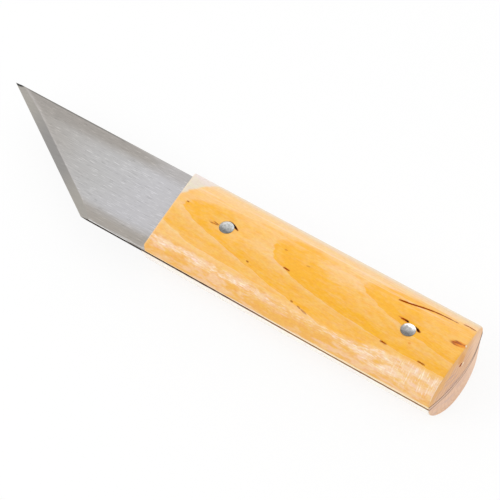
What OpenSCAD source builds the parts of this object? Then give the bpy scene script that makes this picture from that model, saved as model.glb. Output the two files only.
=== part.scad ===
// Shoemaker knife: a steel strip, ground to a slanting edge, whose full tang lies between two wooden
// scales that two peened rivets hold. The knife lies on its right scale: +Z is up, X runs from the tip
// to the butt, and the spine is on the +Y side.

/* [Strip] */
// Length from the tip to the end of the butt
overall_length = 180; // [150:1:220]
// Width of the steel strip, which is the handle's width too
strip_width = 32.4; // [26:0.2:40]
// Thickness of the steel strip
strip_thickness = 1.5; // [1:0.1:3]

/* [Blade] */
// Length of bare steel on the middle line, from the tip to the wood
blade_length = 72.5; // [60:0.5:90]
// Angle between the cutting edge and the spine
edge_angle = 32.7; // [27:0.1:45]
// Width of the bevel ground on each face, square to the cutting edge
bevel_width = 2.7; // [1.5:0.1:6]
// Thickness left at the cutting edge
edge_thickness = 0.1; // [0.04:0.02:0.2]
// How much grinding takes off each face of the bare steel
grind_depth = 0.03; // [0.01:0.01:0.1]
// Width of the eased bands along the spine and the lower edge of the bare steel
band_width = 5; // [2:0.5:9]
// How far each face falls away across such a band
band_fall = 0.2; // [0.1:0.05:0.3]

/* [Handle] */
// Thickness of each wooden scale at its crown
scale_thickness = 10.8; // [8:0.1:14]
// Width of the narrow flat sanded along the crown of each scale, over the rivets
crown_flat = 6; // [4:0.5:12]
// Lean of the scales' front ends, away from the blade
front_lean = 21; // [5:1:35]
// Skew of the scales' front ends across the strip
front_skew = 4.7; // [0:0.1:10]
// Radius of the rounded butt
butt_radius = 60; // [30:1:120]

/* [Rivets] */
// Diameter of the rivets' shanks
rivet_diameter = 4; // [3:0.1:5]
// How far a peened head spreads past the shank, on the radius
head_spread = 0.35; // [0.2:0.05:0.8]
// Height of a head's dome over its rim
head_dome = 0.35; // [0.2:0.05:0.8]
// How far the top of a head lies below the crown of the wood
head_sink = 0.05; // [0:0.05:0.5]
// From the front end of the wood to the front rivet
front_rivet_setback = 23.1; // [14:0.1:35]
// From the end of the butt to the rear rivet
rear_rivet_setback = 18.6; // [10:0.1:30]
// How far the front rivet sits below the middle line
front_rivet_drop = 0.8; // [0:0.1:3]
// How far the rear rivet sits below the middle line
rear_rivet_drop = 2; // [0:0.1:4]
// Clearance round the rivets in the wood and the steel, on the radius
rivet_clearance = 0.05; // [0.02:0.01:0.15]

/* [Hidden] */
$fn = 96;

half_width = strip_width / 2;
half_strip = strip_thickness / 2;
half_bare = half_strip - grind_depth;        // half the thickness of the bare steel
mid_height = scale_thickness + half_strip;   // height of the strip's middle plane
tip_x = -overall_length / 2;
butt_x = overall_length / 2;
wood_x = tip_x + blade_length;               // front end of the wood at the tang, on the middle line
edge_run = strip_width / tan(edge_angle);    // length of the cutting edge along X
bevel_tilt = atan((half_bare - edge_thickness / 2) / bevel_width);
band_tilt = atan(band_fall / band_width);
oval_rise = scale_thickness / sqrt(1 - pow(crown_flat / strip_width, 2));   // the oval before its flat
beyond = 20;                                 // how far cutting shapes reach past the knife
head_rim = scale_thickness - head_sink - head_dome;             // rim's height over the tang's face
head_diameter = rivet_diameter + 2 * head_spread;
dome_radius = (pow(head_diameter / 2, 2) + pow(head_dome, 2)) / (2 * head_dome);
rivet_places = [
    [wood_x + front_rivet_setback, -front_rivet_drop],
    [butt_x - rear_rivet_setback, -rear_rivet_drop],
];

// Everything up to the rounded end of the butt
module butt_round() {
    translate([butt_x - butt_radius, 0, 0])
        sphere(r = butt_radius);
    translate([tip_x - beyond, -strip_width, -strip_width])
        cube([overall_length + beyond - butt_radius, 2 * strip_width, 2 * strip_width]);
}

// The strip's outline, seen from above
module strip_outline() {
    polygon([
        [tip_x, half_width],
        [tip_x + edge_run, -half_width],
        [butt_x, -half_width],
        [butt_x, half_width],
    ]);
}

// The bare steel in front of the wood, as a tall block whose end follows the wood's skew
module bare_steel() {
    translate([wood_x, 0, 0])
        rotate([0, 0, front_skew])
            translate([-blade_length - beyond, -strip_width, -strip_thickness])
                cube([blade_length + beyond, 2 * strip_width, 2 * strip_thickness]);
}

// What is ground off the upper face over its whole width
module face_skin() {
    translate([tip_x - beyond, -strip_width, half_bare])
        cube([overall_length, 2 * strip_width, strip_thickness]);
}

// What is ground off the upper face along the spine
module band_wedge() {
    translate([tip_x - beyond, half_width - band_width, half_bare])
        rotate([-band_tilt, 0, 0])
            cube([overall_length, 2 * band_width, strip_thickness]);
}

// What is ground off the upper face along the cutting edge
module bevel_wedge() {
    translate([tip_x, half_width, edge_thickness / 2])
        rotate([0, 0, -edge_angle])
            rotate([bevel_tilt, 0, 0])
                translate([-beyond, -beyond, 0])
                    cube([overall_length, 2 * beyond, beyond]);
}

// Does the same on the left and on the right of the middle plane
module both_faces() {
    children();
    mirror([0, 0, 1]) children();
}

// The hole that takes a rivet: shank, cone that the head seats on and straight wall round the head
module rivet_hole() {
    cylinder(r = rivet_diameter / 2 + rivet_clearance, h = 2 * mid_height + beyond, center = true);
    both_faces() {
        translate([0, 0, half_strip + head_rim - head_spread])
            cylinder(
                r1 = rivet_diameter / 2,
                r2 = head_diameter / 2 + rivet_clearance,
                h = head_spread + rivet_clearance);
        translate([0, 0, half_strip + head_rim + rivet_clearance])
            cylinder(r = head_diameter / 2 + rivet_clearance, h = beyond);
    }
}

module rivet_holes() {
    for (place = rivet_places)
        translate([place.x, place.y, 0]) rivet_hole();
}

// One half of the oval handle, on the left of the tang
module half_handle() {
    difference() {
        intersection() {
            translate([wood_x - beyond, 0, half_strip])
                rotate([90, 0, 90])
                    linear_extrude(height = overall_length)
                        intersection() {
                            scale([1, oval_rise / half_width]) circle(r = half_width);
                            translate([-strip_width, 0]) square([2 * strip_width, scale_thickness]);
                        }
            butt_round();
        }
        translate([wood_x, 0, half_strip])
            rotate([0, front_lean, front_skew])
                translate([-overall_length, -strip_width, -beyond])
                    cube([overall_length, 2 * strip_width, beyond + 2 * scale_thickness]);
        rivet_holes();
    }
}

// A rivet after peening, from head to head
module rivet() {
    cylinder(d = rivet_diameter, h = 2 * (half_strip + head_rim - head_spread), center = true);
    both_faces() {
        translate([0, 0, half_strip + head_rim - head_spread])
            cylinder(d1 = rivet_diameter, d2 = head_diameter, h = head_spread);
        translate([0, 0, half_strip + head_rim])
            intersection() {
                translate([0, 0, head_dome - dome_radius]) sphere(r = dome_radius);
                cylinder(d = 2 * head_diameter, h = 2 * head_dome);
            }
    }
}

module blade() {
    color("lightslategray")
        translate([0, 0, mid_height])
            difference() {
                intersection() {
                    linear_extrude(height = strip_thickness, center = true) strip_outline();
                    butt_round();
                }
                both_faces() {
                    intersection() {
                        bare_steel();
                        union() {
                            face_skin();
                            band_wedge();
                            mirror([0, 1, 0]) band_wedge();
                        }
                    }
                    bevel_wedge();
                }
                rivet_holes();
            }
}

module left_scale() {
    color("sandybrown")
        translate([0, 0, mid_height]) half_handle();
}

module right_scale() {
    color("burlywood")
        translate([0, 0, mid_height]) mirror([0, 0, 1]) half_handle();
}

module placed_rivet(index) {
    color("gainsboro")
        translate([rivet_places[index].x, rivet_places[index].y, mid_height]) rivet();
}

module front_rivet() {
    placed_rivet(0);
}

module rear_rivet() {
    placed_rivet(1);
}

blade();
left_scale();
right_scale();
front_rivet();
rear_rivet();
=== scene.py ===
import math
from functools import reduce

import bmesh
import bpy
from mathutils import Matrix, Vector


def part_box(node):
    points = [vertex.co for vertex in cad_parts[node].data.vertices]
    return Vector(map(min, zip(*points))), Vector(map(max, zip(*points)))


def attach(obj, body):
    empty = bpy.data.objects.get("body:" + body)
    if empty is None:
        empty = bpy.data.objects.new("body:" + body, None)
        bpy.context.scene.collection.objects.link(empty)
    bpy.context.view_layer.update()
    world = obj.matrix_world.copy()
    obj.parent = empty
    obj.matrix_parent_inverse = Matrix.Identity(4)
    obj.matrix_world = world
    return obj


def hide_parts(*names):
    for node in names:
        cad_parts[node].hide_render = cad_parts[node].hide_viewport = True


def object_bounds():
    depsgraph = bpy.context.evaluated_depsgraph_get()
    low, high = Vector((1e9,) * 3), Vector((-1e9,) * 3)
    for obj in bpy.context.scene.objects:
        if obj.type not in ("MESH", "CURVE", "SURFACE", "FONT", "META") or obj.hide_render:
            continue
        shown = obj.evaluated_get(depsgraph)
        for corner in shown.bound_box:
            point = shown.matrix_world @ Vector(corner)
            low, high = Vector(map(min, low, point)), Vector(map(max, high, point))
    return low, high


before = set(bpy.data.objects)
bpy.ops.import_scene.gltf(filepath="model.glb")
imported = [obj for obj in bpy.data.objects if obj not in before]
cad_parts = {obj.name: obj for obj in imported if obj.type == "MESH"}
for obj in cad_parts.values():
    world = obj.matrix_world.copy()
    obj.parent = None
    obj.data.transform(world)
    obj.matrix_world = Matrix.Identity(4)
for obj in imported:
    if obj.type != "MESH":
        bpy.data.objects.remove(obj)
cadLow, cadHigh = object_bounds()
print("frame loaded:", ", ".join(sorted(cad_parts)))

mm = 0.001
fine = 1e-7  # points closer than this are merged
close = 1e-6  # places closer than this count as the same
squareOn = 0.9  # a face is square to an axis if its normal has this much of it
rivetNodes = ("front_rivet", "rear_rivet")

# The knife lies on its right scale: tip at -X, butt at +X, spine at +Y, the shown face up
stripLow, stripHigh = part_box("blade")
leftLow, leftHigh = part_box("left_scale")
tipX = stripLow.x
buttX = stripHigh.x
halfWidth = stripHigh.y
tangTop = stripHigh.z
midZ = (stripHigh.z + stripLow.z) / 2
crownZ = leftHigh.z

handle = {
    "frontSkew": math.radians(4.7),  # front ends, across the strip
    "frontLean": math.radians(21),  # front ends, back from the blade
    "crownFlat": 6 * mm,  # sanded level over the rivets
    "buttRadius": 60 * mm,
    "ballFacets": 200,
    "drumFacets": 256,
    "facets": 128,  # round the whole oval
    "longEdge": 50 * mm,  # edges along the handle are longer than this
    "lengthCuts": 72,
    "buttRows": 10,  # rows of faces up the end of the butt
    "buttRing": 0.9 * mm,  # ring of faces along its rim
    "rimAngle": 0.6,  # least angle of an edge that is eased, in radians
    "easedRim": 0.35 * mm,
    "rimSegments": 4,
    "cornerLength": 4 * mm,  # worn corner of the butt, at the spine
    "cornerHeight": 0.6 * mm,
    "cornerReach": 9 * mm,
    "leftCornerWear": 0.35 * mm,
    "rightCornerWear": 0.5 * mm,
    "dishDepth": 0.7 * mm,  # wood hammered down round the rivets
    "dishFloor": 1.1 * mm,
    "dishReach": 6.5 * mm,
    "endNormal": 0.8,  # part of the normal along X from which a face is end grain
}
woodX = leftLow.x + halfWidth * math.tan(handle["frontSkew"])
ovalRise = (crownZ - tangTop) / math.sqrt(1 - (handle["crownFlat"] / (2 * halfWidth)) ** 2)


# Modelling by hand, in edit mode

def startPiece(name, addPrimitive, **settings):
    bpy.ops.object.select_all(action="DESELECT")
    addPrimitive(**settings)
    piece = bpy.context.object
    piece.name = name
    bpy.ops.object.transform_apply(location=True, rotation=True, scale=True)
    bpy.ops.object.mode_set(mode="EDIT")
    return piece


def endEdit():
    bpy.ops.object.mode_set(mode="OBJECT")


def selectOnly(piece):
    bpy.ops.object.select_all(action="DESELECT")
    piece.select_set(True)
    bpy.context.view_layer.objects.active = piece


def editAgain(piece):
    selectOnly(piece)
    bpy.ops.object.mode_set(mode="EDIT")


def pick(kind, test):
    data = bpy.context.edit_object.data
    bpy.ops.mesh.select_mode(type=kind)
    bpy.ops.mesh.select_all(action="DESELECT")
    mesh = bmesh.from_edit_mesh(data)
    for part in {"VERT": mesh.verts, "EDGE": mesh.edges, "FACE": mesh.faces}[kind]:
        if test(part):
            part.select_set(True)
    bmesh.update_edit_mesh(data)


def near(value, goal):
    return abs(value - goal) < close


def cutAway(point, normal):  # drops what lies on the normal's side of a plane
    bpy.ops.mesh.select_all(action="SELECT")
    bpy.ops.mesh.bisect(plane_co=point, plane_no=normal, use_fill=True, clear_outer=True, threshold=fine)


def scoreLine(point, normal):  # only adds edges where a plane crosses
    bpy.ops.mesh.select_all(action="SELECT")
    bpy.ops.mesh.bisect(plane_co=point, plane_no=normal, threshold=fine)


def extrudeBy(x, y, z):
    bpy.ops.mesh.extrude_region_move(TRANSFORM_OT_translate={"value": (x, y, z)})


def turnOutward():
    bpy.ops.mesh.select_all(action="SELECT")
    bpy.ops.mesh.normals_make_consistent(inside=False)


def applyModifier(piece, kind, **settings):
    selectOnly(piece)
    added = piece.modifiers.new(kind.lower(), kind)
    for key, value in settings.items():
        setattr(added, key, value)
    bpy.ops.object.modifier_apply(modifier=added.name)


def carve(piece, cutter):
    applyModifier(
        piece, "BOOLEAN", object=cutter, operation="DIFFERENCE", solver="EXACT", material_mode="TRANSFER"
    )


def discard(helper):
    selectOnly(helper)
    bpy.ops.object.delete()


def pullSoftly(shift, reach):  # moves the selected points, and those round them less
    bpy.ops.transform.translate(
        value=shift,
        use_proportional_edit=True,
        proportional_edit_falloff="SMOOTH",
        proportional_size=reach,
    )


def wearCorner(depth):
    fromX = buttX - handle["cornerLength"]
    fromY = halfWidth - handle["cornerHeight"]
    pick("VERT", lambda vert: vert.co.x > fromX and vert.co.y > fromY)
    pullSoftly((-depth, 0, 0), handle["cornerReach"])


def makeButtForm(name, addPrimitive, endX, **settings):  # what the end of a butt follows
    radius = handle["buttRadius"]
    form = startPiece(name, addPrimitive, radius=radius, location=(endX - radius, 0, midZ), **settings)
    endEdit()
    return form


def roundButt(piece, form):  # presses the selected end on to a form
    bpy.ops.object.vertex_group_assign_new()
    group = piece.vertex_groups.active.name
    endEdit()
    applyModifier(
        piece,
        "SHRINKWRAP",
        target=form,
        wrap_method="PROJECT",
        use_project_x=True,
        use_negative_direction=True,
        use_positive_direction=False,
        vertex_group=group,
    )
    piece.vertex_groups.clear()
    editAgain(piece)


# Blade: one strip, ground to a slanting edge

blade = {
    "edgeAngle": math.radians(32.7),  # between the cutting edge and the spine
    "grindDepth": 0.03 * mm,  # off each face of the bare steel
    "bevelWidth": 2.7 * mm,
    "edgeThickness": 0.1 * mm,
    "bandWidth": 5 * mm,  # eased along the spine and the lower edge
    "bandFall": 0.2 * mm,
    "bandEasing": 1.4 * mm,
    "bandSegments": 5,
    "lowerCorner": 0.28 * mm,  # worn
    "spineCorner": 0.1 * mm,
    "cornerSegments": 2,
    "shortEdge": 10 * mm,  # edges along the bare steel are longer than this
    "buttCuts": 24,
    "cornerWear": 0.3 * mm,
    "flatNormal": 0.95,  # parts of a normal that tell flats, worn corners and edges apart
    "wornNormal": 0.3,
    "edgeNormal": 0.8,
}
halfBare = tangTop - midZ - blade["grindDepth"]
bandY = halfWidth - blade["bandWidth"]
bevelSlope = (halfBare - blade["edgeThickness"] / 2) / blade["bevelWidth"]


def makeBlade(buttForm):
    skew = handle["frontSkew"]
    length = buttX - tipX
    piece = startPiece(
        "groundBlade",
        bpy.ops.mesh.primitive_cube_add,
        size=1,
        location=(tipX + length / 2, 0, midZ),
        scale=(length, 2 * halfWidth, 2 * halfBare),
    )
    scoreLine((woodX, 0, midZ), (math.cos(skew), math.sin(skew), 0))

    def onTang(place):
        return (place.x - woodX) * math.cos(skew) + place.y * math.sin(skew) > 0

    for side in (1, -1):  # the tang keeps the strip's full thickness
        pick("FACE", lambda face: face.normal.z * side > squareOn and onTang(face.calc_center_median()))
        extrudeBy(0, 0, side * blade["grindDepth"])

    angle = blade["edgeAngle"]
    tip = Vector((tipX, halfWidth, midZ))
    away = Vector((-math.sin(angle), -math.cos(angle), 0))  # square to the cutting edge
    cutAway(tip, away)

    for side in (1, -1):  # eased bands
        scoreLine((0, side * bandY, midZ), (0, 1, 0))
    nudge = Vector((0.1 * mm, 0, 0))  # points on the wood's line count as bare
    for side in (1, -1):
        faceZ = midZ + side * halfBare
        pick("VERT", lambda vert: near(vert.co.z, faceZ) and near(abs(vert.co.y), halfWidth)
             and not onTang(vert.co - nudge))
        bpy.ops.transform.translate(value=(0, 0, -side * blade["bandFall"]))

    tilt = math.atan(bevelSlope)
    for side in (1, -1):  # the two bevels
        up = Vector((0, 0, side))
        cutAway(tip + up * blade["edgeThickness"] / 2, away * math.sin(tilt) + up * math.cos(tilt))

    pick("EDGE", lambda edge: all(near(vert.co.x, buttX) for vert in edge.verts)
         and abs(edge.verts[0].co.y - edge.verts[1].co.y) > mm)
    bpy.ops.mesh.subdivide(number_cuts=blade["buttCuts"])
    pick("VERT", lambda vert: near(vert.co.x, buttX))
    roundButt(piece, buttForm)
    wearCorner(blade["cornerWear"])

    def alongBare(edge, y):
        a, b = edge.verts[0].co, edge.verts[1].co
        isLong = abs(a.x - b.x) > blade["shortEdge"]
        return isLong and near(a.y, y) and near(b.y, y) and not onTang((a + b) / 2)

    pick("EDGE", lambda edge: alongBare(edge, bandY) or alongBare(edge, -bandY))
    bpy.ops.mesh.bevel(offset=blade["bandEasing"], segments=blade["bandSegments"])
    for y, corner in ((halfWidth, blade["spineCorner"]), (-halfWidth, blade["lowerCorner"])):
        pick("EDGE", lambda edge: alongBare(edge, y))
        bpy.ops.mesh.bevel(offset=corner, segments=blade["cornerSegments"])
    endEdit()
    return piece


# Handle: two oval scales, both shaped as the left one

def makeScale(name, buttForm, cornerWear):
    front = woodX - halfWidth  # the bar starts well before the cut
    lean, skew = handle["frontLean"], handle["frontSkew"]
    piece = startPiece(
        name,
        bpy.ops.mesh.primitive_cylinder_add,
        vertices=handle["facets"],
        radius=halfWidth,
        depth=buttX - front,
        location=((front + buttX) / 2, 0, tangTop),
        rotation=(0, math.pi / 2, 0),
    )
    bpy.ops.transform.resize(value=(1, 1, ovalRise / halfWidth), center_override=(0, 0, tangTop))
    pick("VERT", lambda vert: vert.co.z > crownZ)
    bpy.ops.transform.resize(value=(1, 1, 0), center_override=(0, 0, crownZ))
    pick("FACE", lambda face: face.normal.x > squareOn)
    bpy.ops.mesh.inset(thickness=handle["buttRing"], depth=0)
    cutAway((0, 0, tangTop), (0, 0, -1))
    cutAway(
        (woodX, 0, tangTop),
        (-math.cos(lean) * math.cos(skew), -math.cos(lean) * math.sin(skew), math.sin(lean)),
    )

    rows = handle["buttRows"]
    pick("EDGE", lambda edge: edge.calc_length() > halfWidth
         and all(near(vert.co.x, buttX) and near(vert.co.z, tangTop) for vert in edge.verts))
    bpy.ops.mesh.subdivide(number_cuts=handle["facets"] // 2 - 2 * rows - 1)
    pick("FACE", lambda face: face.normal.x > squareOn and len(face.verts) > 4)
    bpy.ops.mesh.delete(type="ONLY_FACE")
    pick("EDGE", lambda edge: edge.is_boundary)
    bpy.ops.mesh.fill_grid(span=rows)
    pick("VERT", lambda vert: near(vert.co.x, buttX))
    roundButt(piece, buttForm)

    pick("EDGE", lambda edge: abs(edge.verts[0].co.x - edge.verts[1].co.x) > handle["longEdge"])
    bpy.ops.mesh.subdivide(number_cuts=handle["lengthCuts"])
    pick("EDGE", lambda edge: edge.calc_face_angle(0) > handle["rimAngle"]
         and any(vert.co.z > tangTop + fine for vert in edge.verts))
    bpy.ops.mesh.bevel(offset=handle["easedRim"], segments=handle["rimSegments"])
    wearCorner(cornerWear)
    for node in rivetNodes:
        centre = rivetSizes(node)[0]
        crown = Vector((centre.x, centre.y, crownZ))
        pick("VERT", lambda vert: (vert.co - crown).length < handle["dishFloor"])
        pullSoftly((0, 0, -handle["dishDepth"]), handle["dishReach"])
    endEdit()
    return piece


def turnOver(piece):  # to the right of the tang
    editAgain(piece)
    bpy.ops.mesh.select_all(action="SELECT")
    bpy.ops.transform.resize(value=(1, 1, -1), center_override=(0, 0, midZ))
    turnOutward()
    endEdit()


# Rivets: solid pins, peened over at both ends

rivet = {
    "headSpread": 0.35 * mm,  # past the shank, on the radius
    "headDome": 0.35 * mm,
    "rimDrop": 0.15 * mm,  # rim hammered down with the wood
    "clearance": 0.05 * mm,
    "facets": 48,
    "domeRings": 9,
    "ringSpacing": 1.6,  # over 1, rings are closer at the rim
    "domePower": 2.8,  # fuller than a ball
    "hammerMarks": 7,  # flats left by the hammer on each head
    "firstMark": 0.3,  # how far out the marks begin, in steps
    "markTurn": 2.4,  # from one mark to the next, in radians
    "markDepth": 0.012 * mm,
}
coneRise = rivet["headSpread"] - rivet["rimDrop"]


def rivetSizes(node):
    low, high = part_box(node)
    headRadius = (high.x - low.x) / 2
    shoulder = high.z - midZ - rivet["headDome"] - rivet["headSpread"]
    return (low + high) / 2, headRadius, headRadius - rivet["headSpread"], shoulder


def widen(ratio, centre):
    bpy.ops.transform.resize(value=(ratio, ratio, 1), center_override=centre)


def startPin(name, centre, radius, shoulder):
    return startPiece(
        name,
        bpy.ops.mesh.primitive_cylinder_add,
        vertices=rivet["facets"],
        radius=radius,
        depth=2 * shoulder,
        location=centre,
    )


def makeRivet(name, node):
    centre, headRadius, shankRadius, shoulder = rivetSizes(node)
    dome = rivet["headDome"] + rivet["rimDrop"]
    rings, power = rivet["domeRings"], rivet["domePower"]
    piece = startPin(name, centre, shankRadius, shoulder)
    for side in (1, -1):
        pick("FACE", lambda face: face.normal.z * side > squareOn)
        extrudeBy(0, 0, side * coneRise)
        widen(headRadius / shankRadius, centre)
        lastRadius, lastRise = headRadius, 0
        for ring in range(rings):
            radius = headRadius * (1 - ((ring + 1) / (rings + 1)) ** rivet["ringSpacing"])
            rise = dome * (1 - (radius / headRadius) ** power)
            extrudeBy(0, 0, side * (rise - lastRise))
            widen(radius / lastRadius, centre)
            lastRadius, lastRise = radius, rise
        for mark in range(rivet["hammerMarks"]):
            turn = rivet["markTurn"] * mark + side + centre.x / mm
            out = math.sqrt((mark + rivet["firstMark"]) / rivet["hammerMarks"])  # 1 at the rim
            rise = shoulder + coneRise + dome * (1 - out ** power)
            slope = power * dome / headRadius * out ** (power - 1)
            outward = Vector((math.cos(turn), math.sin(turn), 0))
            flat = (outward * slope + Vector((0, 0, side))).normalized()
            struck = centre + outward * out * headRadius + Vector((0, 0, side * rise))
            cutAway(struck - flat * rivet["markDepth"], flat)
    endEdit()
    return piece


def makeRivetHole(node):
    centre, headRadius, shankRadius, shoulder = rivetSizes(node)
    gap = rivet["clearance"]
    cutter = startPin(node + "Hole", centre, shankRadius + gap, shoulder)
    for side in (1, -1):
        pick("FACE", lambda face: face.normal.z * side > squareOn)
        extrudeBy(0, 0, side * (coneRise + gap))
        widen((headRadius + gap) / (shankRadius + gap), centre)
        extrudeBy(0, 0, side * mm)  # out past the wood
    endEdit()
    return cutter


# Splits, chips and dents in the left scale: paths are of (x, y, half width), in mm

leftMarks = {
    "splitFacets": 6,
    "depthRatio": 0.6,  # depth over half width
    "splits": [
        [(63.4, 5.75, 0.05), (64.6, 5.95, 0.44), (66.8, 6.35, 0.4), (69.5, 7.15, 0.45),
         (72.1, 7.85, 0.42), (74.5, 8.4, 0.35), (77.3, 8.72, 0.3), (80.9, 8.9, 0.16), (82.4, 8.95, 0.04)],
        [(83.6, 9.75, 0.05), (85.8, 9.9, 0.28), (88.1, 9.6, 0.1)],
        [(67.6, 0.25, 0.04), (68.1, 0.35, 0.28), (68.8, 0.45, 0.24), (69.5, 0.47, 0.36),
         (70.2, 0.35, 0.16)],
        [(66.1, -9.2, 0.05), (67.0, -9.2, 0.3), (68.5, -9.3, 0.05)],
        [(79.0, -9.2, 0.05), (80.0, -9.2, 0.2), (81.7, -9.3, 0.04)],
        [(28.4, -3.85, 0.05), (29.4, -3.9, 0.3), (30.8, -4.0, 0.06)],
        [(17.4, -7.55, 0.03), (17.8, -7.6, 0.15), (18.2, -7.65, 0.03)],
        [(35.9, -11.3, 0.03), (36.3, -11.3, 0.13), (36.7, -11.4, 0.03)],
        [(38.4, -11.6, 0.02), (39.8, -11.95, 0.08), (42.4, -12.4, 0.02)],
        [(-10.0, 0.5, 0.03), (-9.7, 0.5, 0.16), (-9.3, 0.5, 0.03)],
        [(84.6, 1.45, 0.02), (85.4, 1.6, 0.09), (86.2, 1.6, 0.02)],
        [(0.4, -2.1, 0.02), (1.6, -1.8, 0.07), (2.9, -1.65, 0.02)],
        [(1.3, -1.2, 0.02), (2.2, -1.25, 0.08), (3.1, -1.4, 0.02)],
    ],
    "chips": {  # from the rivet's middle
        "front_rivet": [(-0.6, 2.4, 0.03), (0.4, 2.4, 0.12), (1.3, 2.1, 0.2), (2.0, 1.6, 0.42),
                        (2.6, 1.3, 0.4), (3.2, 1.0, 0.26), (3.7, 0.75, 0.04)],
        "rear_rivet": [(1.3, 2.15, 0.04), (1.8, 1.85, 0.2), (2.45, 1.45, 0.5), (3.0, 1.2, 0.4),
                       (3.6, 0.95, 0.05)],
    },
    "nip": ((-15.4, -15.5, 2.5), (-14.7, -16.2, 0), (-16.4, -13, 0)),  # corner cut: x, y, over the tang
    "dentTurn": 0.6,  # radians
    "dents": [  # x, y, height over the middle plane, half sizes, whether the wood inside is dark
        ((89.55, -1.55, 6.85), (0.4, 0.85, 0.45), True),
        ((89.78, -0.45, 6.2), (0.26, 0.95, 0.42), False),
        ((88.83, 2.27, 11.41), (0.36, 0.44, 0.24), False),
    ],
}


def onFace(piece, x, y):  # the point of a piece's upper face over x, y
    return piece.ray_cast((x * mm, y * mm, crownZ + mm), (0, 0, -1))[1]


def makeSplit(piece, path):
    points = [(onFace(piece, x, y), half * mm) for x, y, half in path]
    place, size = points[0]
    cutter = startPiece(
        "split",
        bpy.ops.mesh.primitive_circle_add,
        vertices=leftMarks["splitFacets"],
        radius=size,
        fill_type="NGON",
        location=place,
        rotation=(0, math.pi / 2, 0),
    )
    bpy.ops.transform.resize(value=(1, 1, leftMarks["depthRatio"]), center_override=place)
    for nextPlace, nextSize in points[1:]:
        extrudeBy(*(nextPlace - place))
        ratio = nextSize / size
        bpy.ops.transform.resize(value=(1, ratio, ratio), center_override=nextPlace)
        place, size = nextPlace, nextSize
    turnOutward()
    endEdit()
    return cutter


def makeDent(place, sizes):
    centre = Vector(place) * mm + Vector((0, 0, midZ))
    cutter = startPiece(
        "dent", bpy.ops.mesh.primitive_ico_sphere_add, subdivisions=2, radius=mm, location=centre
    )
    bpy.ops.transform.rotate(value=leftMarks["dentTurn"], orient_axis="X", center_override=centre)
    bpy.ops.transform.resize(value=sizes, center_override=centre)
    endEdit()
    return cutter


def nipCorner(piece):
    a, b, c = (Vector(place) * mm + Vector((0, 0, tangTop)) for place in leftMarks["nip"])
    editAgain(piece)
    cutAway(a, (c - a).cross(b - a).normalized())
    endEdit()


def leftSplitPaths():
    paths = list(leftMarks["splits"])
    for node, path in leftMarks["chips"].items():
        centre = rivetSizes(node)[0] / mm
        paths.append([(centre.x + x, centre.y + y, half) for x, y, half in path])
    return paths


# Finishes: shader maths as sums of wrapped sockets, in mm, with z from the middle plane

mixFactor, mixUnder, mixOver, mixResult = 0, 6, 7, 2  # a Mix node's sockets for colours


class Wire:
    def __init__(self, tree, socket):
        self.tree = tree
        self.socket = socket

    def node(self, kind, settings, sockets, output=0):
        made = self.tree.nodes.new("ShaderNode" + kind)
        for name, value in settings.items():
            setattr(made, name, value)
        for name, value in sockets.items():
            if isinstance(value, Wire):
                self.tree.links.new(value.socket, made.inputs[name])
            else:
                made.inputs[name].default_value = value
        return Wire(self.tree, made.outputs[output])

    def maths(self, operation, *values):
        return self.node("Math", {"operation": operation}, dict(enumerate(values)))

    def __add__(self, other):
        return self.maths("ADD", self, other)

    __radd__ = __add__

    def __sub__(self, other):
        return self.maths("SUBTRACT", self, other)

    def __rsub__(self, other):
        return self.maths("SUBTRACT", other, self)

    def __mul__(self, other):
        return self.maths("MULTIPLY", self, other)

    def __truediv__(self, other):
        return self.maths("DIVIDE", self, other)

    def __lt__(self, other):
        return self.maths("LESS_THAN", self, other)


def tint(red, green, blue):  # a colour as seen on screen, from 0 to 255
    def linear(level):
        level /= 255
        return level / 12.92 if level <= 0.04045 else ((level + 0.055) / 1.055) ** 2.4

    return linear(red), linear(green), linear(blue), 1


def layer(mask, under, over):
    sockets = {mixFactor: mask, mixUnder: under, mixOver: over}
    return mask.node("Mix", {"data_type": "RGBA"}, sockets, mixResult)


def multiply(colour, red, green, blue):
    levels = red.node("CombineColor", {}, {"Red": red, "Green": green, "Blue": blue})
    settings = {"data_type": "RGBA", "blend_type": "MULTIPLY"}
    return levels.node("Mix", settings, {mixFactor: 1, mixUnder: colour, mixOver: levels}, mixResult)


def ease(value, start, end):  # 0 up to start, 1 from end on
    sockets = {"Value": value, "From Min": start, "From Max": end}
    return value.node("MapRange", {"interpolation_type": "SMOOTHSTEP"}, sockets)


def largest(first, second):
    return first.maths("MAXIMUM", first, second)


def smallest(first, second):
    return first.maths("MINIMUM", first, second)


def absolute(value):
    return value.maths("ABSOLUTE", value)


def exponent(value):
    return value.maths("EXPONENT", value)


def fraction(value):
    return value.maths("FRACT", value)


def offSquared(y, z, middle):  # square of the distance from a point of the end grain
    return (y - middle[0]) * (y - middle[0]) + (z - middle[1]) * (z - middle[1])


def patches(place, lengths, seed, detail=2):  # noise from 0 to 1 whose blobs have these lengths
    shift = (seed, 1.7 * seed, 0)  # each seed takes its own part of the noise
    scale = [1 / length for length in lengths]
    scaled = place.node("Mapping", {}, {"Vector": place, "Location": shift, "Scale": scale})
    return scaled.node("TexNoise", {}, {"Vector": scaled, "Scale": 1, "Detail": detail})


def makeNoises(place, table, seed=0):
    rows = table.items()
    return {name: patches(place, lengths, seed + shift, detail) for name, (lengths, shift, detail) in rows}


def swing(noise):  # noise about zero
    return noise - 0.5


def spot(place, middle, reach, turn=0):  # 0 in the middle of an oval, 1 at its rim
    endless = 1000  # the same all through the piece
    local = place.node(
        "Mapping",
        {"vector_type": "TEXTURE"},
        {"Vector": place, "Location": (*middle, 0), "Rotation": (0, 0, turn), "Scale": (*reach, endless)},
    )
    return local.node("VectorMath", {"operation": "LENGTH"}, {0: local}, "Value")


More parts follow.
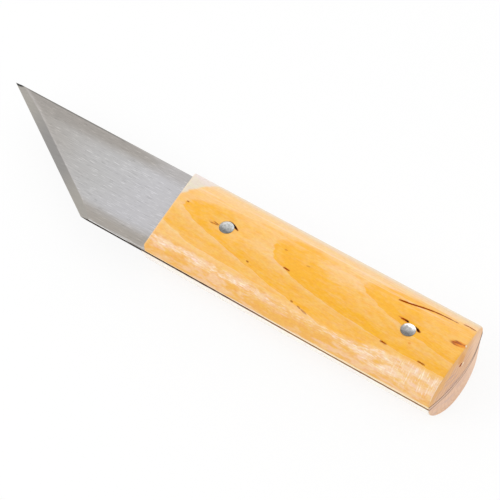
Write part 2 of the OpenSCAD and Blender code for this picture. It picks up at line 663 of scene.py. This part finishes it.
def fromRivet(place):  # 1 at the rim of a rivet's head
    spots = []
    for node in rivetNodes:
        centre, headRadius = rivetSizes(node)[:2]
        spots.append(spot(place, centre.xy / mm, [headRadius / mm] * 2))
    return reduce(smallest, spots)


def plainFinish(name, constants):
    finish = bpy.data.materials.new(name)
    finish.use_nodes = True
    shader = finish.node_tree.nodes["Principled BSDF"]
    for socket, value in constants.items():
        shader.inputs[socket.replace("_", " ")].default_value = value
    return finish, shader


def startFinish(name, **constants):
    finish, shader = plainFinish(name, constants)
    tree = finish.node_tree
    place = Wire(tree, tree.nodes.new("ShaderNodeTexCoord").outputs["Object"])
    place = place.node("VectorMath", {"operation": "SUBTRACT"}, {0: place, 1: (0, 0, midZ)})
    place = place.node("VectorMath", {"operation": "SCALE"}, {0: place, "Scale": 1 / mm})
    return finish, place, shader


def split(place, axes="XYZ"):
    apart = place.node("SeparateXYZ", {}, {"Vector": place})
    sockets = apart.socket.node.outputs
    return [Wire(place.tree, sockets[axis]) for axis in axes]


def overTang(z):  # mm out from the tang's face
    return absolute(z) - (tangTop - midZ) / mm


def feed(shader, socket, value):
    value.tree.links.new(value.socket, shader.inputs[socket])


def feedBump(shader, height, depth):  # height from 0 to 1, depth in mm
    feed(shader, "Normal", height.node("Bump", {}, {"Distance": depth * mm, "Height": height}))


# Wood: pale and flat sawn, under clear lacquer

wood = {
    "light": tint(247, 203, 139),
    "dark": tint(248, 178, 30),
    "flank": tint(243, 195, 142),
    "amber": tint(240, 178, 78),
    # painted highlight along the spine side, where the wood curves away
    "paleEdgeHighlight": tint(240, 216, 184),
    "paleBand": tint(250, 218, 178),
    "cream": tint(225, 216, 199),
    "creamTop": tint(238, 223, 215),
    # painted highlight along the lower edge of the right scale
    "lowerEdgeHighlight": tint(255, 250, 242),
    "rim": tint(252, 228, 190),  # painted highlight along the front end and along the joints
    # ray flecks, painted lighter as glints of light
    "fleckGlint": tint(255, 238, 218),
    "stain": tint(160, 68, 0),
    "rust": tint(236, 140, 12),
    "splitInside": tint(176, 74, 0),
    # painted shade in the gaps beside the rivet heads
    "grime": tint(48, 22, 8),
    # pale raw wood in the chips, painted near white as their highlight
    "raw": tint(255, 238, 214),
    "endGrain": tint(234, 187, 146),
    "endRing": tint(214, 156, 106),
    "endRim": tint(240, 180, 98),
    "endLilac": tint(198, 158, 146),
    # painted highlight on the butt towards the spine
    "endSpineHighlight": tint(252, 214, 180),
    "endPink": tint(255, 226, 208),
    "endStain": tint(228, 158, 70),
    "glueLineAndShade": tint(112, 76, 58),  # dark glue line along the joints, with painted shade of the gaps
}
woodNoise = {  # lengths of the blobs, what is added to the seed, detail
    "fibre": ((9, 0.35, 0.35), 1, 3),
    "mottle": ((6, 2.2, 2.2), 2, 3),
    "cloud": ((16, 6, 6), 3, 2),
    "dabs": ((2, 0.4, 0.4), 4, 3),
    "streak": ((20, 1.5, 1.5), 6, 3),
    "strokes": ((0.4, 3, 3), 9, 1),
    "veins": ((2.6, 0.3, 0.3), 10, 2),
    "dapple": ((2.2, 0.9, 0.9), 12, 3),
    "speckle": ((1, 0.4, 0.4), 13, 2),
    "tinge": ((3, 1.2, 1.2), 14, 3),
    "bands": ((34, 0.8, 0.8), 16, 3),
}
endNoise = {
    "pores": ((6, 0.22, 0.22), 7, 2),
    "sway": ((20, 7, 7), 8, 2),
    "smears": ((4, 5, 0.7), 15, 3),
}
woodLayout = {
    "grain": {"fibre": 0.35, "mottle": 0.6, "dapple": 0.6, "streak": 0.5},  # shares of the noises
    "top": (7.7, [(50, 62, 0.9), (16, 6, 0.7)]),  # plainer above this height; its steps along x
    "flank": (-12.0, [(53, 60, 1.2), (68, 76, 1.2), (26, 40, -1.2)]),  # paler below this height
    "fleckLine": -13.65,
    "rear": (58, 70),  # x where the flecks spread, and where they turn to strokes
    "strokes": (68, 80),
    "pith": (4, -4),  # on the butt: y, z
    "endRing": 1.65,  # width of a ring there
}
ringNoise = {  # bends the rings
    "sway": ((26, 9, 12), 0, 2),
    "ripple": ((6, 1.8, 2.4), 5, 2),
}
ringForm = {  # how all the rings are drawn
    "turn": 2.5,  # half the height in which an upper arm turns into a lower one
    "leastRoom": 0.05,
    "upperEdge": 3.6,  # upper arms are softer
    "lowerEdge": 0.8,
    "fadeBend": 0.025,
    "finerStep": 4.6,  # between faint rings
}

leftFigure = {
    "seed": 3,
    "rings": [  # rings that the face cuts; pairs are for below and above the tip
        {"tip": (-24, -2), "spread": (5, 4.5), "limit": (11, 90), "hold": 6,
         "fade": (24, 10), "reach": 160, "depth": (0.66, 0.3)},
        {"tip": (-10.2, 0.5), "spread": (3.2, 1.8), "limit": (90, 14), "hold": 4,
         "fade": (19, 24), "reach": 260, "depth": (1, 0.95)},
        {"tip": (21, 2.2), "spread": (5.4, 6), "limit": (13.6, 8.5), "hold": 13,
         "fade": (32, 10), "reach": 500, "depth": (1.05, 0.92)},
        {"tip": (51.6, 4.4), "spread": (2.3, 2.6), "limit": (90, 8), "hold": 14,
         "fade": (44, 50), "reach": 160, "depth": (1, 0.98)},
    ],
    "knots": [  # brown patches: x, y, half length, half height, turn, strength
        (86.5, 1.6, 3, 1.15, 0.1, 1),
        (1.6, -1.7, 2, 0.7, 0.15, 0.3),
        (68.4, 0.4, 2, 0.55, -0.05, 0.85),
        (74.1, -5.8, 0.6, 0.35, 0, 0.7),
        (25.7, 1.9, 0.7, 0.35, 0, 0.7),
        (34.6, 0.5, 0.8, 0.3, 0.1, 0.4),
    ],
    "pales": [  # feathery light patches: x, y, half length, half height, turn, strength
        (45, 3.2, 9.5, 4.2, -0.1, 0.24),
        (17, -1.6, 5.5, 2.2, -0.15, 0.15),
    ],
    "endStains": [(-0.9, 8.8, 2, 0.8)],  # on the butt: y, z, reach, strength
    "creamCorner": True,
    "paleEdgeHighlight": False,
}
rightFigure = {
    "seed": 41,
    "rings": [
        {"tip": (-30, 4), "spread": (4, 4.5), "limit": (90, 11), "hold": 5,
         "fade": (20, 26), "reach": 140, "depth": (0.5, 0.62)},
        {"tip": (-6, 1.5), "spread": (2.4, 3), "limit": (14, 90), "hold": 4,
         "fade": (24, 26), "reach": 130, "depth": (0.8, 0.9)},
        {"tip": (33, -2), "spread": (5, 5.4), "limit": (9, 13), "hold": 9,
         "fade": (22, 36), "reach": 400, "depth": (0.85, 1)},
        {"tip": (63, -4), "spread": (2.6, 2.4), "limit": (9, 90), "hold": 12,
         "fade": (50, 50), "reach": 400, "depth": (0.95, 0.9)},
    ],
    "knots": [(33, 5.5, 1.8, 0.6, -0.08, 0.7)],
    "pales": [(54, -3, 7, 3.4, 0.1, 0.4)],
    "endStains": [],
    "creamCorner": False,
    # paints a highlight along the lower edge of this scale
    "paleEdgeHighlight": True,
}


def ringTone(place, figure):
    x, y = split(place, "XY")
    noise = makeNoises(place, ringNoise, figure["seed"])
    sway, ripple = swing(noise["sway"]), swing(noise["ripple"])
    tones, glows = [], []
    for ring in figure["rings"]:
        (below, above), (limitBelow, limitAbove) = ring["spread"], ring["limit"]
        (fadeBelow, fadeAbove), (depthBelow, depthAbove) = ring["fade"], ring["depth"]
        along = x - ring["tip"][0]
        across = y - ring["tip"][1] + sway * 2 + ripple
        square = across * across
        lower = across < 0
        turn = ease(across, ringForm["turn"], -ringForm["turn"])  # 0 over the tip, 1 under it
        spread = lower * (1 / below - 1 / above) + 1 / above
        limit = lower * (limitBelow ** -4 - limitAbove ** -4) + limitAbove ** -4
        room = largest(1 - square * square * limit, ringForm["leastRoom"])
        inside = along - square * spread / room + sway * 4 + ripple * 3
        softness = ringForm["upperEdge"] - lower * (ringForm["upperEdge"] - ringForm["lowerEdge"])
        edge = ease(inside / softness, -0.5, 0.7)
        far = turn * (inside - ring["hold"]) / (square * (ringForm["fadeBend"] * fadeBelow) + fadeBelow)
        far = far + (1 - turn) * (along - ring["hold"]) / fadeAbove + turn * along / ring["reach"]
        depth = turn * (depthBelow - depthAbove) + depthAbove
        finer = ease(absolute(swing(fraction(inside / ringForm["finerStep"]))), 0.12, 0.4)
        tones.append(edge * depth * exponent(largest(far, 0) * -1) * (0.9 + finer * 0.14))
        glows.append((1 - edge) * turn * ease(inside, -9, -0.5))  # light wood just outside a ring
    return reduce(largest, tones) * 0.65 - reduce(largest, glows) * 0.2 + 0.33


def nearFront(x, y, z):  # mm behind the front end of the wood
    skew = handle["frontSkew"]
    along = (x - woodX / mm) * math.cos(skew) + y * math.sin(skew)
    return along - overTang(z) * math.tan(handle["frontLean"])


def steppedLine(x, height, steps):  # a height that changes along the handle
    for start, end, rise in steps:
        height = ease(x, start, end) * rise + height
    return height


def overMiddle(x):  # 1 along the middle of the handle
    return ease(x, 20, 34) * ease(x, 60, 46)


def figuredWood(place, noise, figure):  # rings, plainer towards the spine
    x, y = split(place, "XY")
    dapple = swing(noise["dapple"])
    grain = 0
    for name, share in woodLayout["grain"].items():
        grain = grain + swing(noise[name]) * share
    top = ease(y - steppedLine(x, *woodLayout["top"]) + swing(noise["cloud"]) * 4 + dapple * 2, -1.2, 3.2)
    colour = layer(ringTone(place, figure) * (1 - top) + grain, wood["light"], wood["dark"])
    for paleX, paleY, reach, height, turn, strength in figure["pales"]:
        pale = ease(spot(place, (paleX, paleY), (reach, height), turn) + dapple * 1.2, 1.1, 0.3)
        colour = layer(pale * strength, colour, wood["paleBand"])
    return colour


def flankMask(place, noise):  # 1 low on the side
    x, y = split(place, "XY")
    uneven = swing(noise["cloud"]) * 1.5 + swing(noise["dapple"]) * 1.2
    return ease(y - steppedLine(x, *woodLayout["flank"]) + uneven, 0.4, -0.8)


def flankTone(place, noise):
    middle = overMiddle(split(place, "X")[0])
    patchy = noise["mottle"] * 0.65 + noise["streak"] * 0.35 + swing(noise["dapple"]) * 0.3
    return layer(ease(patchy - middle * 0.08, 0.42, 0.58), wood["amber"], wood["flank"])


def addPaleWoodAndHighlight(colour, place, noise, figure):  # paler towards the spine, with a painted highlight along the spine side, and at the front corner
    x, y = split(place, "XY")
    colour = layer(ease(noise["bands"], 0.5, 0.62) * ease(y, 4, 8) * 0.45, colour, wood["paleBand"])
    # painted highlight along the spine side
    colour = layer(ease(y + swing(noise["cloud"]) * 2, 11, 14), colour, wood["paleEdgeHighlight"])
    if figure["creamCorner"]:
        corner = ease(x + (15 - y) * 0.55 + swing(noise["mottle"]) * 3, -5.4, -6.9) * ease(y, 0, 1.5)
        colour = layer(corner * 0.92, colour, layer(ease(y, 8, 14), wood["cream"], wood["creamTop"]))
    return colour


def addFlecks(colour, place, noise):  # ray flecks painted lighter as glints, along the lower side, upright strokes by the butt
    x, y = split(place, "XY")
    rear = ease(x, *woodLayout["rear"])
    last = ease(x, *woodLayout["strokes"])
    off = absolute(y - woodLayout["fleckLine"] + swing(noise["cloud"]) * 0.8 - rear * 0.6)
    band = ease(off - rear * 1.6, 1.6, 0.2) * (1 - overMiddle(x) * 0.45)
    flecks = ease(noise["dabs"], 0.44, 0.72) * (1 - last) + ease(noise["strokes"], 0.5, 0.7) * last
    level = 0.2 + rear * 0.08 + flecks * (0.68 - last * 0.15)
    return layer(band * level * ease(noise["mottle"], 0.25, 0.5), colour, wood["fleckGlint"])


def addRims(colour, place, noise, figure):  # painted highlights: paler along the front end and the joints, and along the lower edge of the right scale
    x, y, z = split(place)
    # painted highlight on the eased rims at the front end and over the tang
    rim = largest(ease(nearFront(x, y, z), 0.7, 0.2) * 0.3, ease(overTang(z), 0.6, 0.1))
    colour = layer(rim * 0.6, colour, wood["rim"])
    # painted highlight along the lower edge
    if figure["paleEdgeHighlight"]:
        colour = layer(ease(y + swing(noise["cloud"]) * 2.4, -12.6, -15), colour, wood["lowerEdgeHighlight"])
    return colour


def addStains(colour, place, noise, figure, paths):  # knots, and the wood along the splits
    veined = layer(ease(noise["veins"], 0.46, 0.62), wood["rust"], wood["stain"])
    for knotX, knotY, reach, height, turn, strength in figure["knots"]:
        away = spot(place, (knotX, knotY), (reach, height), turn)
        knot = ease(away + swing(noise["dapple"]) * 0.8, 1.05, 0.6)
        colour = layer(knot * strength, colour, veined)
    halos = []
    for path in paths:
        for (x0, y0, half0), (x1, y1, half1) in zip(path, path[1:]):
            centre = ((x0 + x1) / 2, (y0 + y1) / 2)
            reach = (math.hypot(x1 - x0, y1 - y0) / 2 + 0.3, max(half0, half1) + 0.25)
            halos.append(ease(spot(place, centre, reach, math.atan2(y1 - y0, x1 - x0)), 1, 0.35))
    if halos:
        colour = layer(reduce(largest, halos) * 0.5, colour, wood["stain"])
    return colour


def woodFinish(name, figure, paths):
    finish, place, shader = startFinish(name, Coat_Weight=0.12, Coat_Roughness=0.25)
    noise = makeNoises(place, woodNoise, figure["seed"])
    flank = flankMask(place, noise)
    colour = figuredWood(place, noise, figure)
    colour = layer(flank, colour, flankTone(place, noise))
    colour = addPaleWoodAndHighlight(colour, place, noise, figure)
    colour = addFlecks(colour, place, noise)
    colour = addRims(colour, place, noise, figure)
    colour = addStains(colour, place, noise, figure, paths)
    speckle = swing(noise["speckle"])
    tinge = swing(noise["tinge"]) * 0.2
    level = speckle * (0.32 + flank * 0.15) + 1
    feed(shader, "Base Color", multiply(colour, speckle * 0.15 + 1, level + tinge, level - tinge))
    feed(shader, "Roughness", 0.36 + noise["fibre"] * 0.14)
    feedBump(shader, noise["fibre"] * 0.6 + noise["mottle"] * 0.4, 0.02)
    return finish


def endGrainFinish(name, figure):
    finish, place, shader = startFinish(name)
    y, z = split(place, "YZ")
    noise = makeNoises(place, endNoise, figure["seed"])
    pores, smears, sway = swing(noise["pores"]), swing(noise["smears"]), swing(noise["sway"])
    offPith = offSquared(y, z, woodLayout["pith"])
    rings = offPith.maths("SQRT", offPith) / woodLayout["endRing"] + sway * 1.5
    tone = ease(fraction(rings), 0.45, 0.95) * 0.55 + pores * 1.3
    colour = layer(ease(tone, 0, 1), wood["endGrain"], wood["endRing"])
    colour = layer(ease(noise["smears"], 0.5, 0.66) * 0.75, colour, wood["endLilac"])
    # painted highlight: paler towards the spine
    colour = layer(ease(y, 1, 8) * 0.55, colour, wood["endSpineHighlight"])
    colour = layer(ease(z, 0, -2) * 0.33, colour, wood["endPink"])
    outward = y * y * (mm / halfWidth) ** 2 + z * z * (mm / (crownZ - midZ)) ** 2  # 1 at the rim
    rimShare = ease(z, -1, 1) * 0.55 + 0.15
    colour = layer(ease(outward + sway, 0.62, 1) * rimShare, colour, wood["endRim"])
    for stainY, stainZ, reach, strength in figure["endStains"]:
        ragged = offSquared(y, z, (stainY, stainZ)) / reach ** 2 + smears * 3 + pores * 1.2
        colour = layer(ease(ragged, 1.4, 0) * strength, colour, wood["endStain"])
    # dark glue line and painted shade along the joints, more towards the spine
    bySpine = ease(y, 3, 10)
    grimy = ease(z, 0.2, -0.2) * 0.7 + ease(z, -0.2, 0.2) * bySpine * 0.85
    colour = layer(ease(overTang(z) + sway, bySpine * 0.4 + 0.8, 0.2) * grimy, colour, wood["glueLineAndShade"])
    feed(shader, "Base Color", colour)
    feed(shader, "Roughness", 0.5 + noise["pores"] * 0.2)
    feedBump(shader, noise["pores"], 0.03)
    return finish


def splitFinish():
    finish, place, shader = startFinish("splitInside", Roughness=0.8, Specular_IOR_Level=0)
    grit = patches(place, (0.6, 0.2, 0.2), 11)
    colour = layer(ease(grit, 0.35, 0.7), wood["splitInside"], wood["stain"])
    # painted shade: the splits turn very dark next to the rivet heads
    feed(shader, "Base Color", layer(ease(fromRivet(place), 1.7, 1.15), colour, wood["grime"]))
    return finish


def rawFinish():
    finish, place, shader = startFinish("rawInside", Roughness=0.8)
    # pale raw wood, painted near white as a highlight
    grit = patches(place, (0.3, 0.3, 0.3), 12)
    feed(shader, "Base Color", layer(ease(grit, 0.55, 0.8), wood["raw"], wood["endGrain"]))
    return finish


# Steel: ground along the strip, its edges still dark from the mill

steel = {
    "flat": tint(196, 195, 195),
    # painted light near the wood and painted shade towards the tip
    "litNearWood": tint(201, 200, 203),
    # painted reflection: the eased bands darker than the flat
    "band": tint(166, 161, 156),
    "lowerBand": tint(182, 176, 169),
    "tipShade": tint(178, 173, 167),
    # painted reflection on the bevel, lighter at its ends, and a painted highlight on its ridge
    "bevel": tint(194, 191, 188),
    "bevelEnds": tint(215, 210, 202),
    "ridge": tint(206, 201, 199),
    # darker along the spine towards the tip, and at the tip
    "darkEdge": tint(84, 84, 82),
    "scale": tint(46, 38, 32),
    "scaleLight": tint(84, 74, 66),
    "joint": tint(44, 18, 0),  # dark line where the strip shows along the wood, with painted shade of the gap
    "jointRear": tint(122, 76, 40),
    "sanded": tint(250, 240, 228),  # sanded with the wood, and painted near white as a highlight
    "sandedRear": tint(252, 230, 192),
    # dark joint lines at the butt, with painted shade of the gaps, darker towards the spine
    "buttSteel": tint(226, 192, 170),
    "buttLine": tint(76, 44, 28),
    # worn steel, painted lighter as a highlight
    "wornSheen": tint(232, 231, 229),
}
steelNoise = {  # lengths of the blobs, seed, detail
    "streaks": ((36, 0.22, 4), 1, 3),
    "strokes": ((12, 0.3, 4), 2, 2),
    "cloud": ((22, 9, 9), 3, 2),
    "dashes": ((3.4, 0.2, 4), 7, 1),
}


def pastBevel(x, y):  # mm behind the bevel's ridge, which is nearer the edge in the bands
    angle = blade["edgeAngle"]
    fromEdge = (x - tipX / mm) * math.sin(angle) + (y - halfWidth / mm) * math.cos(angle)
    narrowing = blade["bandFall"] / blade["bandWidth"] / bevelSlope
    return fromEdge + largest(absolute(y) - bandY / mm, 0) * narrowing - blade["bevelWidth"] / mm


def steelFinish():
    finish, place, shader = startFinish("groundSteel", Metallic=1)
    x, y = split(place, "XY")
    noise = makeNoises(place, steelNoise)
    streaks, strokes, cloud = swing(noise["streaks"]), swing(noise["strokes"]), swing(noise["cloud"])
    # painted shade towards the tip and painted light near the wood
    colour = layer(ease(x + cloud * 18, -40, -80), steel["flat"], steel["tipShade"])
    colour = layer(ease(x + cloud * 18, -46, -26), colour, steel["litNearWood"])
    along = x + cloud * 20
    # painted reflection: the eased bands darker than the flat
    band = ease(absolute(y + cloud * 2.5 + strokes * 3), bandY / mm - 2.5, bandY / mm + 2.2)
    band = band * (1 - ease(y, 0, 8) * ease(along, -42, -24) * 0.45)  # fainter at the spine, by the wood
    colour = layer(band, colour, layer(ease(y, 4, -4), steel["band"], steel["lowerBand"]))
    # worn along the edges near the wood, painted lighter as a highlight
    rubbedSheen = ease(absolute(y), 15.2, 15.7) * ease(along, -60, -45) * ease(noise["strokes"], 0.3, 0.6)
    colour = layer(rubbedSheen * (0.6 - ease(y, -4, 4) * 0.5), colour, steel["wornSheen"])
    # darker along the spine towards the tip
    spineLine = ease(y, 15.55, 15.85) * ease(along, -40, -52)
    colour = layer(spineLine * 0.55, colour, steel["darkEdge"])

    past = pastBevel(x, y)
    # painted highlight along the ridge, and painted reflection on the bevel
    lightRidge = largest((1 - band) * 0.25, ease(x, -66, -74) * 0.45)
    colour = layer(ease(past, 1.3, 0.1) * lightRidge, colour, steel["ridge"])
    bevel = ease(past, 0.06, -0.06)
    ends = largest(ease(x, -66, -82), ease(x, -58, -44))
    colour = layer(bevel, colour, layer(ends, steel["bevel"], steel["bevelEnds"]))
    # darker spot at the tip
    darkEdge = ease(spot(place, (tipX / mm + 1.4, halfWidth / mm - 0.2), (2.8, 0.7)), 1, 0.4)
    colour = layer(darkEdge, colour, steel["darkEdge"])

    dashes = ease(noise["dashes"], 0.62, 0.7) * 0.3 - ease(noise["dashes"], 0.36, 0.28) * 0.24
    scratched = 1 - bevel * 0.7
    shine = 1 + (streaks * 0.3 + strokes * 0.22) * scratched + dashes * scratched
    feed(shader, "Base Color", multiply(colour, shine, shine, shine))
    feed(shader, "Roughness", 0.36 + streaks * 0.2 + cloud * 0.1)
    feedBump(shader, noise["streaks"], 0.006)
    return finish


def stripEdgeFinish():
    finish, place, shader = startFinish("stripEdge", Specular_IOR_Level=0.1)
    x, y, z = split(place)
    crust = patches(place, (2.5, 0.4, 0.5), 5, 3)
    bare = layer(ease(crust, 0.45, 0.75), steel["scale"], steel["scaleLight"])
    # painted shade of the gap along the dark line, and a painted highlight on the rest of the held sides
    lineAt = ease(x, -15, 60) * -0.7 + 0.42  # wanders from one joint towards the other
    line = ease(absolute(z - lineAt + swing(crust) * 0.4) + ease(x, -8, 50) * 0.14, 0.6, 0.36)
    sanded = layer(ease(x, 10, 50), steel["sanded"], steel["sandedRear"])
    sanded = layer(line, sanded, layer(ease(x, -8, 40), steel["joint"], steel["jointRear"]))
    # dark joint lines and painted gap shade at the butt, darker towards the spine
    joint = z - y * 0.008 + swing(crust) * 0.3
    dark = largest(ease(joint, 0.38, 0.62) * 0.9, ease(y + crust * 4, 4, 13) * 0.6)
    butt = layer(dark, steel["buttSteel"], steel["buttLine"])
    sanded = layer(ease(absolute(y), 16.15, 15.9), sanded, butt)
    held = x + y * math.tan(handle["frontSkew"]) - woodX / mm  # over 0 between the scales
    feed(shader, "Base Color", layer(ease(held, -0.4, 0.4), bare, sanded))
    feed(shader, "Roughness", 0.5 + crust * 0.3)
    return finish


def wornCornerSheenFinish():
    finish, place, shader = startFinish("wornCornerSheen", Metallic=0.3, Roughness=0.3)
    x, y = split(place, "XY")
    nicks = patches(place, (1.6, 0.4, 0.4), 6)
    # worn lower corner, painted bright as a highlight up to x -21; duller where nicked and on the spine
    # side
    dull = largest(largest(ease(nicks, 0.6, 0.8), ease(x, -23, -20)), ease(y, -1, 1))
    feed(shader, "Base Color", layer(dull, steel["wornSheen"], steel["band"]))
    return finish


# Rivet metal: soft, bright and hammered

metal = {
    "dull": tint(172, 174, 172),
    "bright": tint(209, 210, 209),
    "rear": tint(168, 158, 156),
    "lit": tint(253, 252, 252),
    # painted shade of the gap round each head, with dirt in the joint
    "rim": tint(96, 84, 74),
}


def rivetFinish():
    finish, place, shader = startFinish("peenedMetal", Metallic=1)
    x, y = split(place, "XY")
    dents = patches(place, (0.8, 0.8, 0.8), 8)
    scuff = patches(place, (0.25, 0.25, 0.25), 9)
    isRear = ease(x, 30, 50)
    colour = layer(ease(dents, 0.35, 0.7), metal["dull"], metal["bright"])
    colour = layer(isRear * 0.35, colour, metal["rear"])
    lit = ease(y + 2 + swing(dents) * 1.6, 0.5, 1.3) * isRear
    colour = layer(lit * 0.9, colour, metal["lit"])
    # painted shade of the gap round each head, with dirt in the joint
    colour = layer(ease(fromRivet(place), 0.93, 1) * 0.6, colour, metal["rim"])
    feed(shader, "Base Color", colour)
    feed(shader, "Roughness", 0.2 + scuff * 0.2)
    feedBump(shader, dents * 0.8 + scuff * 0.2, 0.03)
    return finish


# Making the pieces

buttBall = makeButtForm(
    "buttBall",
    bpy.ops.mesh.primitive_uv_sphere_add,
    buttX,
    segments=handle["ballFacets"],
    ring_count=handle["ballFacets"] // 2,
)
bladePiece = makeBlade(buttBall)
leftPiece = makeScale("leftScale", buttBall, handle["leftCornerWear"])
discard(buttBall)
nipCorner(leftPiece)
buttDrum = makeButtForm(  # the right scale is rounded across only
    "buttDrum",
    bpy.ops.mesh.primitive_cylinder_add,
    leftHigh.x,
    vertices=handle["drumFacets"],
    depth=4 * halfWidth,
)
rightPiece = makeScale("rightScale", buttDrum, handle["rightCornerWear"])
discard(buttDrum)
turnOver(rightPiece)
frontRivet = makeRivet("frontRivet", "front_rivet")
rearRivet = makeRivet("rearRivet", "rear_rivet")
print("shapes made")

for finish in (steelFinish(), stripEdgeFinish(), wornCornerSheenFinish()):
    bladePiece.data.materials.append(finish)
for face in bladePiece.data.polygons:
    sideways = max(abs(face.normal.y), face.normal.x)
    isFlat = abs(face.normal.z) >= blade["flatNormal"] or sideways <= blade["wornNormal"]
    isBevel = face.normal.x <= -blade["wornNormal"]
    if not isFlat and not isBevel:
        face.material_index = 1 if sideways > blade["edgeNormal"] else 2

splitPaths = leftSplitPaths()
for piece, side, figure, paths in (
    (leftPiece, "left", leftFigure, splitPaths),
    (rightPiece, "right", rightFigure, []),
):
    piece.data.materials.append(woodFinish(side + "Wood", figure, paths))
    piece.data.materials.append(endGrainFinish(side + "EndGrain", figure))
    for face in piece.data.polygons:
        face.material_index = 1 if abs(face.normal.x) > handle["endNormal"] else 0
peenedMetal = rivetFinish()
for piece in (frontRivet, rearRivet):
    piece.data.materials.append(peenedMetal)
print("finishes set")

splitInside = splitFinish()
rawInside = rawFinish()
cutters = [(makeSplit(leftPiece, path), splitInside) for path in splitPaths]
for node in rivetNodes:
    hole = makeRivetHole(node)
    for piece in (bladePiece, leftPiece, rightPiece):
        carve(piece, hole)
    discard(hole)
for place, sizes, isDark in leftMarks["dents"]:
    cutters.append((makeDent(place, sizes), splitInside if isDark else rawInside))
for cutter, inside in cutters:
    cutter.data.materials.append(inside)
    carve(leftPiece, cutter)
    discard(cutter)
print("holes and splits cut:", len(leftPiece.data.polygons), "faces in the left scale")

pieces = (  # with its CAD node, its slot, and the angle in degrees up to which it is shaded smooth
    (bladePiece, "blade", "blade_steel", 10),
    (leftPiece, "left_scale", "handle_wood", 35),
    (rightPiece, "right_scale", "handle_wood", 35),
    (frontRivet, "front_rivet", "rivet_metal", 35),
    (rearRivet, "rear_rivet", "rivet_metal", 35),
)
for piece, node, slot, smoothAngle in pieces:
    selectOnly(piece)
    bpy.ops.object.shade_smooth_by_angle(angle=math.radians(smoothAngle))
    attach(piece, "root")
    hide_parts(node)
print("pieces in place")


# Camera, floor and light

view = {
    "azimuth": math.radians(33.83),
    "elevation": math.radians(54.24),
    "distance": 649.3 * mm,
    "target": Vector((11.9 * mm, 2.66 * mm, midZ)),
    "lens": 150.46,
    "clipStart": 10 * mm,
}
studio = {
    "floorSize": 6.0,
    "floorGap": 0.05 * mm,  # under the knife
    "floorColour": tint(250, 250, 250),
    "floorGlow": 0.86,  # how much of the floor's white is its own
    "skyLevel": 0.88,
    "skyRise": 0.26,  # brighter towards the back
    "mirrorLevel": 0.37,  # the sky as metal sees it, straight up
    "mirrorRise": 1.3,  # brighter towards the back, and low in front
    "mirrorFront": 0.4,
    "keyPower": 4.8,
    "keySize": 0.8,
    "keyPlace": Vector((-0.58, -0.78, 0.86)),
}
white = (1, 1, 1, 1)


def aim(thing, direction):
    thing.rotation_euler = direction.to_track_quat("-Z", "Y").to_euler()


def makeCamera():
    azimuth, elevation = view["azimuth"], view["elevation"]
    back = Vector((
        math.sin(azimuth) * math.cos(elevation),
        -math.cos(azimuth) * math.cos(elevation),
        math.sin(elevation),
    ))
    bpy.ops.object.camera_add(location=view["target"] + back * view["distance"])
    camera = bpy.context.object
    aim(camera, -back)
    camera.data.lens = view["lens"]
    camera.data.clip_start = view["clipStart"]
    bpy.context.scene.camera = camera


def rayKinds(tree):  # each 1 for rays of its own kind
    path = tree.nodes.new("ShaderNodeLightPath")
    return [Wire(tree, path.outputs[f"Is {kind} Ray"]) for kind in ("Camera", "Glossy", "Transmission")]


def makeFloor():
    bpy.ops.object.select_all(action="DESELECT")
    level = cadLow.z - studio["floorGap"]
    bpy.ops.mesh.primitive_plane_add(size=studio["floorSize"], location=(0, 0, level))
    floor = bpy.context.object
    floor.name = "studioFloor"
    matt = {"Base Color": studio["floorColour"], "Roughness": 1, "Specular IOR Level": 0}
    finish, shader = plainFinish("studioFloor", matt)
    tree = finish.node_tree
    seen = reduce(largest, rayKinds(tree))
    glow = seen.node("Emission", {}, {"Color": white})
    lit = Wire(tree, shader.outputs["BSDF"])
    mixed = seen.node("MixShader", {}, {0: seen * studio["floorGlow"], 1: lit, 2: glow})
    tree.links.new(mixed.socket, tree.nodes["Material Output"].inputs["Surface"])
    floor.data.materials.append(finish)


def makeLight():
    world = bpy.data.worlds.new("studio")
    bpy.context.scene.world = world
    world.use_nodes = True
    tree = world.node_tree
    backdrop = tree.nodes["Background"]
    backdrop.inputs["Color"].default_value = white
    direction = Wire(tree, tree.nodes.new("ShaderNodeTexCoord").outputs["Generated"])
    back = split(direction, "Y")[0]
    camera, glossy, glass = rayKinds(tree)
    plain = largest(camera, glass)
    sky = back * studio["skyRise"] + studio["skyLevel"]
    low = largest(back, 0 - back - studio["mirrorFront"])
    mirror = largest(low, 0) * studio["mirrorRise"] + studio["mirrorLevel"]
    strength = plain + (1 - plain) * (glossy * mirror + (1 - glossy) * sky)
    tree.links.new(strength.socket, backdrop.inputs["Strength"])
    bpy.ops.object.light_add(type="AREA", location=studio["keyPlace"])
    key = bpy.context.object
    key.data.energy = studio["keyPower"]
    key.data.size = studio["keySize"]
    key.visible_glossy = False
    aim(key, -studio["keyPlace"])


makeCamera()
makeFloor()
makeLight()
bpy.context.scene.view_settings.view_transform = "Standard"
print("camera, floor and light set")
